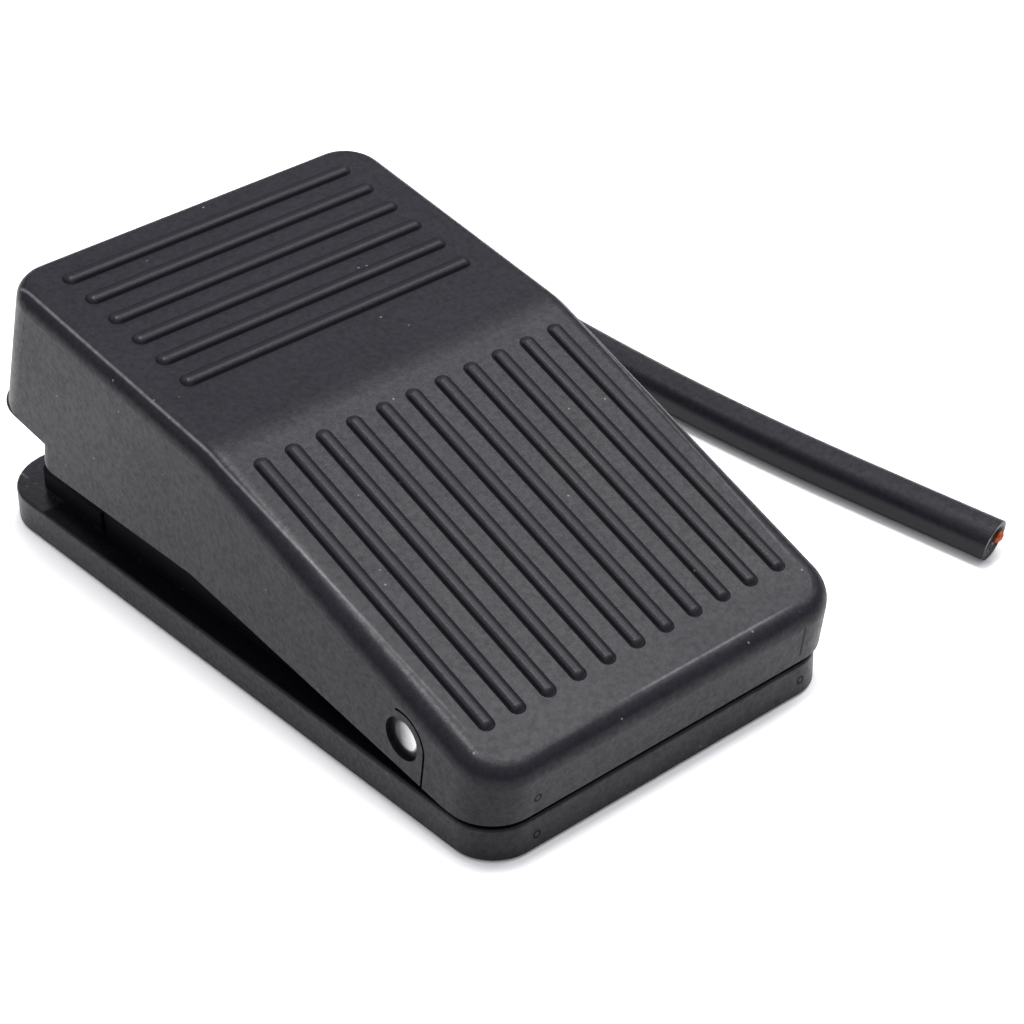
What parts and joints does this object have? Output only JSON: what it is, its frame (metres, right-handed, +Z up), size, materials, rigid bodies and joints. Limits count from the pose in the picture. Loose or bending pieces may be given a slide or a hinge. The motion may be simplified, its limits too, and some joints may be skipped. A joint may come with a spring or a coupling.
{
  "type": "sewing machine pedal",
  "caption": "Small hinged foot switch: a ribbed cover presses a sprung snap switch in a low tray, with a two-core cable leaving the toe end.",
  "frame": {"origin": "on the floor, under the middle of the pedal without its free cable", "axes": "+Z up, +Y from the hinged heel end to the high toe end, +X to the foot's right"},
  "size_m": [0.0919, 0.1341, 0.0393],
  "materials": {
    "housing": "fine satin texture",
    "switch_body": "satin",
    "feet": "matte",
    "bushing": "matte",
    "sheath": "satin",
    "steel": "ground",
    "spring_wire": "drawn",
    "zinc_screw": "zinc plated",
    "contact_metal": "plain",
    "lead_brown": "smooth",
    "lead_pale": "smooth"
  },
  "bodies": {
    "tray": {"base_tray": "housing", "foot_pads": "feet", "cable_bushing": "bushing", "inner_cable": "sheath", "cable_clamp": "switch_body", "clamp_screws": "zinc_screw", "switch_case": "switch_body", "switch_lid": "switch_body", "open_terminal": "contact_metal", "closed_terminal": "contact_metal", "common_terminal": "contact_metal", "lever_pin": "steel", "switch_screws": "zinc_screw", "common_lead": "lead_brown", "open_lead": "lead_pale", "cable": "sheath", "return_spring": "spring_wire"},
    "pedal": {"pedal_cover": "housing", "hinge_pin": "steel"},
    "lever": {"switch_lever": "spring_wire"},
    "plunger": {"switch_plunger": "switch_body"},
    "contact_arm": {"contact_arm": "contact_metal"}
  },
  "joints": [
    {"name": "pedal_press", "type": "hinge", "parent": "tray", "child": "pedal", "pos_m": [0, -0.03566, 0.01173], "axis": [-1, 0, 0], "range_deg": [0, 4.5], "stiffness_Nm_per_rad": 3, "springref_deg": -5.73, "deforming": ["return_spring"]},
    {"name": "lever_swing", "type": "hinge", "parent": "tray", "child": "lever", "pos_m": [-0.01485, -0.00431, 0.0215], "axis": [-1, 0, 0], "range_deg": [0, 12]},
    {"name": "plunger_slide", "type": "slide", "parent": "tray", "child": "plunger", "axis": [0, 0, -1], "range_m": [0, 0.0015]},
    {"name": "arm_swing", "type": "hinge", "parent": "tray", "child": "contact_arm", "pos_m": [-0.01485, 0.01749, 0.0135], "axis": [1, 0, 0], "range_deg": [0, 5.6]}
  ],
  "couplings": [
    {"joint": "lever_swing", "follows": "pedal_press", "ratio": 2.6},
    {"joint": "plunger_slide", "follows": "pedal_press", "m_per_rad": 0.01808},
    {"joint": "arm_swing", "follows": "pedal_press", "ratio": 1.218}
  ]
}
